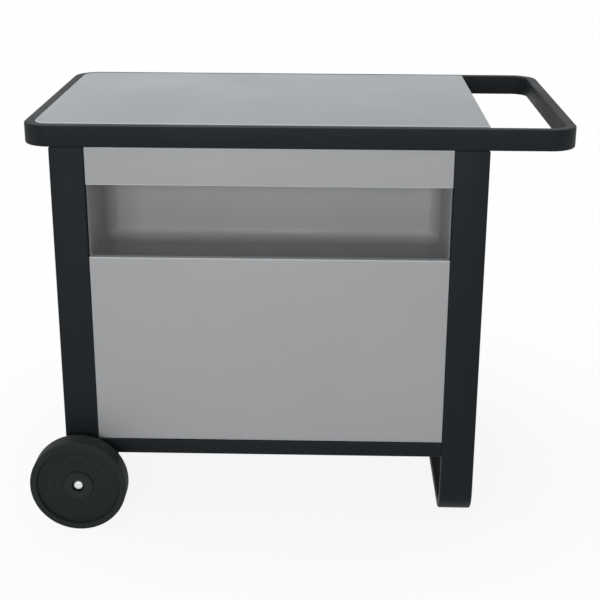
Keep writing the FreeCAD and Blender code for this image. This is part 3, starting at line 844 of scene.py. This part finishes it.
cap_low, cap_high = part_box("axle_caps")
cap_middle = (cap_low + cap_high) / 2
caps = []
for out, tip in ((FRONT, cap_low.y), (BACK, cap_high.y)):
    centre = Vector((cap_middle.x, tip - out.y * CAP_LENGTH / 2, cap_middle.z))
    cap = start_cylinder("cap", centre, (cap_high.x - cap_low.x) / 2, CAP_LENGTH, SLEEVE_SIDES, out)
    edit(cap)
    pick(cap, "EDGE", lambda edge: all(near(corner.co.y, tip) for corner in edge.verts))
    bpy.ops.mesh.bevel(offset=CAP_DOME, segments=CAP_SEGMENTS)
    leave_edit()
    caps.append(cap)
cap_pair = joined(*caps)
cap_pair.name = "axle_cap_pair"
smooth(cap_pair)
hand_over(cap_pair, "cart_frame", "cap_chrome", "axle_caps")

# %% [markdown]
# ## Folded panels
# The fascia, the lower front panel and the two side panels are trays: a flat face with its four
# edges folded back. A block loses its open side, the edges round the face get the radius of the
# fold, and Solidify gives the sheet its thickness. The lower panel gets one more fold, a lip that
# hangs from the back of its top edge; its open edge is extruded downwards.
# %% Panels
PANEL_SHEET = 0.001
PANEL_FOLD, PANEL_SEGMENTS = 0.003, 6
LIP_DROP = 0.02


def largest(faces):
    return max(faces, key=lambda face: face.area)


def folded_panel(name, source, axis, sign, lip=0.0):
    low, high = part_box(source)
    face_level = high[axis] if sign > 0 else low[axis]
    panel = start_block(name, low, high)
    edit(panel)
    drop_faces(panel, lambda face: face.normal[axis] * sign < -SQUARE)
    pick(panel, "EDGE", lambda edge: near(middle(edge)[axis], face_level))
    bpy.ops.mesh.bevel(offset=PANEL_FOLD, segments=PANEL_SEGMENTS)
    if lip:
        pick(panel, "EDGE", lambda edge: open_edge(edge) and near(middle(edge).z, high.z))
        extrude(0, 0, -lip)
    facing_out(panel, largest, AXES[axis] * sign)
    thickened(panel, PANEL_SHEET)
    smooth(panel)
    hand_over(panel, "cart_frame", "panel_grey", source)


folded_panel("fascia_sheet", "front_fascia", Y, -1)
folded_panel("front_panel_sheet", "lower_front_panel", Y, -1, lip=LIP_DROP)
folded_panel("side_sheet_left", "side_panel_left", X, -1)
folded_panel("side_sheet_right", "side_panel_right", X, 1)

# %% [markdown]
# ## The shelf
# The shelf is a flat sheet with three pressed beads that keep it stiff, notched round the four
# legs, with a round hem at its open back edge. A plate is cut by bisects along the notches and
# the beads, and its corner faces are deleted. Cutting the beads with a Boolean would be longer
# and leave poorer faces.
# %% Shelf
LEG_GAP = 0.0014
BEADS = 3
BEAD_LONG, BEAD_WIDE = 0.56, 0.024

shelf_low, shelf_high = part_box("bottom_shelf")
shelf_middle = (shelf_low + shelf_high) / 2
leg_low, leg_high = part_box("left_leg_frame")
notch_x = (leg_high.x + LEG_GAP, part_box("right_leg_frame")[0].x - LEG_GAP)
notch_y = (leg_low.y + RAIL_WIDE + LEG_GAP, leg_high.y - RAIL_WIDE - LEG_GAP)
bead_x = (shelf_middle.x - BEAD_LONG / 2, shelf_middle.x + BEAD_LONG / 2)
pitch = (leg_high.y - leg_low.y) / (BEADS + 1)
bead_rows = [leg_low.y + pitch * (number + 1) for number in range(BEADS)]
bead_sides = [row + side * BEAD_WIDE / 2 for row in bead_rows for side in (-1, 1)]

shelf = start_plate("shelf_sheet", Vector((shelf_middle.x, shelf_middle.y, shelf_high.z)),
                    (shelf_high.x - shelf_low.x, shelf_high.y - shelf_low.y))
edit(shelf)
for x in notch_x + bead_x:
    cut_across((x, 0, 0), AXES[X])
for y in (*notch_y, *bead_sides):
    cut_across((0, y, 0), AXES[Y])
notched = drop_faces(shelf, lambda face: not notch_x[0] < middle(face).x < notch_x[1]
                     and not notch_y[0] < middle(face).y < notch_y[1])
print("notched corners:", notched)

# %% [markdown]
# ## Beads, hem and screw seats of the shelf
# The bead faces are inset and pushed down, and the back edge is extruded down and forward into
# the hem. The sheet is a little thinner than the real one, so that the two layers of the hem
# don't touch. A round seat for each of the four screws is cut with a Boolean, and the slivers
# that this leaves are dissolved.
# %% Beads and hem
BEAD_DEEP, BEAD_SLOPE, BEAD_SEGMENTS = 0.004, 0.003, 4
HEM_DROP, HEM_LONG, HEM_ROUND, HEM_SEGMENTS = 0.002, 0.012, 0.0009, 3
SHELF_SHEET = 0.00095
SEAT_RADIUS, SEAT_DEEP, SEAT_SIDES, SEAT_INSET = 0.0041, 0.004, 32, 0.009
SLIVER = 0.00003


def without(piece, tool):
    """Cuts a tool's shape out of a piece and removes the tool."""
    with_modifier(piece, "BOOLEAN", operation="DIFFERENCE", object=tool)
    bpy.data.objects.remove(tool)


def in_bead(face):
    at = middle(face)
    return (bead_x[0] < at.x < bead_x[1]
            and any(abs(at.y - row) < BEAD_WIDE / 4 for row in bead_rows))


print("beads:", pick(shelf, "FACE", in_bead))
bpy.ops.mesh.inset(thickness=BEAD_SLOPE, depth=-BEAD_DEEP, use_even_offset=True)
pick(shelf, "EDGE", lambda edge: runs_along(edge, Z, BEAD_DEEP / 2))
bpy.ops.mesh.bevel(offset=BEAD_SLOPE, segments=BEAD_SEGMENTS)
pick(shelf, "EDGE", lambda edge: open_edge(edge) and near(middle(edge).y, shelf_high.y))
extrude(0, 0, -HEM_DROP)
extrude(0, -HEM_LONG, 0)
facing_out(shelf, largest, UP)
rounded(shelf, HEM_ROUND, HEM_SEGMENTS)
thickened(shelf, SHELF_SHEET)
for seat_x in (shelf_low.x + SEAT_INSET, shelf_high.x - SEAT_INSET):
    for row in (bead_rows[0], bead_rows[-1]):
        without(shelf, start_cylinder("seat", Vector((seat_x, row, shelf_high.z)), SEAT_RADIUS,
                                      SEAT_DEEP, SEAT_SIDES, UP))
edit(shelf)
bpy.ops.mesh.select_all(action="SELECT")
bpy.ops.mesh.dissolve_degenerate(threshold=SLIVER)
leave_edit()
smooth(shelf)
hand_over(shelf, "cart_frame", "inner_grey", "bottom_shelf")

# %% [markdown]
# ## Joint plates
# Behind each lower corner a flat plate ties rail and leg. It is cut from strip, so its corners
# are clipped round and its edges are broken with a fine round.
# %% Joint plates
PLATE_CORNER, PLATE_SEGMENTS = 0.004, 5
PLATE_THICK_LEAST = 0.001
PLATE_EDGE = 0.0004

for place in ("back_left", "back_right", "front_left", "front_right"):
    source = "joint_plate_" + place
    plate = start_block("tie_plate_" + place, *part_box(source))
    edit(plate)
    pick(plate, "EDGE", lambda edge: runs_along(edge, Y, PLATE_THICK_LEAST))
    bpy.ops.mesh.bevel(offset=PLATE_CORNER, segments=PLATE_SEGMENTS)
    leave_edit()
    rounded(plate, PLATE_EDGE, FINE_SEGMENTS)
    smooth(plate)
    hand_over(plate, "cart_frame", "frame_black", source)

# %% [markdown]
# ## Where the fasteners are
# The record keeps each kind of fastener as one node with several loose solids, and the places are
# read from them: the way along which both ends differ most in width is the screw's axis, and its
# wide end is the head.
# %% Reading the fasteners
KEY_DIGITS = 5


def separate_solids(source):
    """The corners of each loose solid of a node, found by following faces."""
    solid = frame["nodes"][source]
    places = [solid.matrix_world @ corner.co for corner in solid.data.vertices]
    keys = [tuple(round(value, KEY_DIGITS) for value in place) for place in places]
    parent = {key: key for key in keys}

    def root(key):
        while parent[key] != key:
            key = parent[key]
        return key

    for face in solid.data.polygons:
        first = root(keys[face.vertices[0]])
        for index in face.vertices[1:]:
            parent[root(keys[index])] = first
    groups = {}
    for key in parent:
        groups.setdefault(root(key), []).append(Vector(key))
    return list(groups.values())


def width(points):
    return max((one - other).length for one in points for other in points)


def screw_facts(points):
    """The way a screw's head faces, where the head ends, its length and its two radii."""
    best = None
    for axis, way in enumerate(AXES):
        along = [point[axis] for point in points]
        levels = (min(along), max(along))
        ends = [[point for point in points if near(point[axis], level)] for level in levels]
        widths = [width(end) for end in ends]
        taper = abs(widths[1] - widths[0])
        if best is None or taper > best[0]:
            head = 1 if widths[1] > widths[0] else 0
            top = sum(ends[head], Vector()) / len(ends[head])
            best = (taper, way * (1 if head else -1), top, levels[1] - levels[0],
                    widths[head] / 2, widths[1 - head] / 2)
    return best[1:]


print("leg bolts found:", len(separate_solids("spigot_bolts")))

# %% [markdown]
# ## Fasteners
# One screw is modelled for each kind, standing on the origin and pointing up: a shank, a
# round-edged head, and a cross cut into it with a Boolean. Its mesh is copied to each solid's own
# place, and the copies are joined.
# %% One screw of each kind and its copies
CROSS_ARM, CROSS_WIDE, CROSS_DEPTH = 0.55, 0.2, 0.4
HEAD_SIDES, HEAD_ROUND, HEAD_SEGMENTS = 32, 0.45, 5
SHANK_SIDES, SHANK_START, TIP_ROUND = 24, 0.8, 0.35
SCREW_SMOOTH_DEGREES = 30
BOLT_HEAD, SCREW_HEAD, FLUSH_HEAD = 0.003, 0.0022, 0.001
FASTENERS = (("leg_bolts", "spigot_bolts", BOLT_HEAD), ("tie_bolts", "plate_bolts", BOLT_HEAD),
             ("front_screws", "front_panel_screws", SCREW_HEAD),
             ("side_screws", "side_panel_screws", SCREW_HEAD),
             ("bin_fixings", "bin_screws", SCREW_HEAD),
             ("shelf_fixings", "shelf_screws", FLUSH_HEAD))


def rounded_end(piece, level, offset, segments):
    """Bevels the rim of a cylinder at one of its ends."""
    edit(piece)
    pick(piece, "EDGE", lambda edge: all(near(corner.co.z, level) for corner in edge.verts))
    bpy.ops.mesh.bevel(offset=offset, segments=segments)
    leave_edit()


def screw_model(head_radius, head_height, shank_radius, length):
    """A screw that points up with the top of its head at the origin."""
    head = start_cylinder("screw", Vector((0, 0, -head_height / 2)), head_radius, head_height,
                          HEAD_SIDES, UP)
    rounded_end(head, 0, head_height * HEAD_ROUND, HEAD_SEGMENTS)
    for size in ((CROSS_ARM, CROSS_WIDE), (CROSS_WIDE, CROSS_ARM)):
        half = Vector((size[0] * head_radius, size[1] * head_radius, CROSS_DEPTH * head_height))
        without(head, start_block("arm", -half, half))
    shank_top = head_height * SHANK_START
    shank = start_cylinder("shank", Vector((0, 0, -(shank_top + length) / 2)), shank_radius,
                           length - shank_top, SHANK_SIDES, UP)
    rounded_end(shank, -length, shank_radius * TIP_ROUND, FINE_SEGMENTS)
    smooth(joined(head, shank), SCREW_SMOOTH_DEGREES)
    return head


def dress_fasteners(name, source, head_height):
    """Copies one screw to the place of every solid of a node, and joins the copies."""
    facts = [screw_facts(points) for points in separate_solids(source)]
    _, _, length, head_radius, shank_radius = facts[0]
    model = screw_model(head_radius, head_height, shank_radius, length)
    copies = []
    for out, top, *_ in facts:
        mesh = model.data.copy()
        turn = UP.rotation_difference(out).to_matrix().to_4x4()
        mesh.transform(Matrix.Translation(top) @ turn)
        copy = bpy.data.objects.new(name, mesh)
        bpy.context.scene.collection.objects.link(copy)
        copies.append(copy)
    bpy.data.objects.remove(model)
    print(name, "screws:", len(copies))
    hand_over(joined(*copies), "cart_frame", "fastener_steel", source)


for fastener in FASTENERS:
    dress_fasteners(*fastener)

# %% [markdown]
# ## Finishes of the solids
# The axle, the table's studs and the spigots inside the legs keep the frame's own solids, whose
# shape is already right. They get the finish of their slot from the record. So do all the other
# solids, because this costs nothing and keeps a solid presentable wherever it shows.
# %% Finishes of the solids
for part in frame["record"]["subparts"]:
    solid = frame["nodes"][part["node"]]
    solid.data.materials.clear()
    solid.data.materials.append(FINISHES[part["material_slot"]])

# %% [markdown]
# ## Floor and backdrop
# The photo is a cut-out on white. A wide pale floor carries the shadow; part of what the camera
# sees of it, and of what glossy paint mirrors, is plain white, so it reads as white away from the
# cart without any more light on the cart.
# %% Floor
FLOOR_SIZE = 40
FLOOR_PALE = (0.86, 0.86, 0.86, 1.0)
WHITE = (1.0, 1.0, 1.0, 1.0)


def background_rays(tree):
    """1 for what the camera sees directly, mirrored or through something clear, else 0."""
    path = tree.nodes.new("ShaderNodeLightPath")
    seen = math_node(tree, "MAXIMUM", path.outputs["Is Camera Ray"], path.outputs["Is Glossy Ray"])
    return math_node(tree, "MAXIMUM", seen, path.outputs["Is Transmission Ray"])


def end_in_mix(tree, output, share, first, second):
    """Mixes two shaders by a share and ends the tree with them."""
    mix = tree.nodes.new("ShaderNodeMixShader")
    tree.links.new(share, mix.inputs["Fac"])
    tree.links.new(first.outputs[0], mix.inputs[1])
    tree.links.new(second.outputs[0], mix.inputs[2])
    tree.links.new(mix.outputs[0], tree.nodes.new(output).inputs["Surface"])


def white_for_camera(name, near_share, far_share, reach):
    """A pale floor of which the camera sees more and more as plain white away from the cart."""
    material = bpy.data.materials.new(name)
    material.use_nodes = True
    tree = material.node_tree
    tree.nodes.clear()
    pale = node(tree, "ShaderNodeBsdfDiffuse", Color=FLOOR_PALE)
    white = node(tree, "ShaderNodeEmission", Color=WHITE, Strength=1.0)
    place = tree.nodes.new("ShaderNodeTexCoord")
    distance = tree.nodes.new("ShaderNodeVectorMath")
    distance.operation = "LENGTH"
    tree.links.new(place.outputs["Object"], distance.inputs[0])
    share = ranged(tree, distance.outputs["Value"], near_share, far_share, reach)
    share = math_node(tree, "MULTIPLY", background_rays(tree), share)
    end_in_mix(tree, "ShaderNodeOutputMaterial", share, pale, white)
    return material


clear_selection()
bpy.ops.mesh.primitive_plane_add(size=FLOOR_SIZE, location=(0, 0, 0))
floor = applied("studio_floor")
floor.data.materials.append(white_for_camera("studio_floor", near_share=0.9, far_share=0.995,
                                             reach=(0.45, 1.15)))
print("floor is ready")

# %% [markdown]
# ## World and lamps
# Soft studio light: the world is an even pale sky for the object, and plain white for the camera
# and for what mirrors it. A broad lamp hangs above the table, a little behind and to the left,
# and a second one fills the front from further away.
# %% World and lamps
SKY_STRENGTH = 0.2

world = bpy.data.worlds.new("studio")
bpy.context.scene.world = world
world.use_nodes = True
tree = world.node_tree
tree.nodes.clear()
sky = node(tree, "ShaderNodeBackground", Color=WHITE, Strength=SKY_STRENGTH)
white = node(tree, "ShaderNodeBackground", Color=WHITE, Strength=1.0)
end_in_mix(tree, "ShaderNodeOutputWorld", background_rays(tree), sky, white)


def lamp(name, place, target, size, power):
    data = bpy.data.lights.new(name, "AREA")
    data.shape = "RECTANGLE"
    data.size, data.size_y = size
    data.energy = power
    made = bpy.data.objects.new(name, data)
    made.location = place
    made.rotation_euler = (Vector(target) - Vector(place)).to_track_quat("-Z", "Y").to_euler()
    bpy.context.scene.collection.objects.link(made)


lamp("overhead", place=(-0.5, 0.35, 3.2), target=(0, 0.1, 0.5), size=(2.6, 2.6), power=58)
lamp("front_fill", place=(-0.45, -4.2, 1.3), target=(0, -0.2, 0.55), size=(3.0, 1.4), power=69)

# %% [markdown]
# ## The camera
# The camera was fitted to the corners of the cart in the photo: it stands 2.6 m in front of the
# cart's middle and a little right of it, 1.28 m high, and looks down by about 20 degrees.
# %% Camera
CAMERA_PLACE = Vector((0.061952, -2.592826, 1.281177))
YAW, PITCH, ROLL = 0.0229, 0.3413, 0.0044
FOCAL_PIXELS, PICTURE_PIXELS, SENSOR = 1271.22, 600, 36.0

ahead = Vector((-math.sin(YAW) * math.cos(PITCH), math.cos(YAW) * math.cos(PITCH),
                -math.sin(PITCH)))
right = Vector((math.cos(YAW), math.sin(YAW), 0))
above = right.cross(ahead)
tilted_right = right * math.cos(ROLL) + above * math.sin(ROLL)
tilted_up = above * math.cos(ROLL) - right * math.sin(ROLL)
camera_data = bpy.data.cameras.new("photo_camera")
camera_data.sensor_width = SENSOR
camera_data.lens = FOCAL_PIXELS * SENSOR / PICTURE_PIXELS
camera = bpy.data.objects.new("photo_camera", camera_data)
bpy.context.scene.collection.objects.link(camera)
turn = Matrix((tilted_right, tilted_up, -ahead)).transposed()
camera.matrix_world = Matrix.Translation(CAMERA_PLACE) @ turn.to_4x4()
bpy.context.scene.camera = camera
bpy.context.scene.view_settings.view_transform = "Standard"
print("lens:", round(camera_data.lens, 2), "mm")

# %% [markdown]
# ## Finishing
# The number of new pieces is printed.
# %% Finish
print("new pieces:", len(DRESSED))
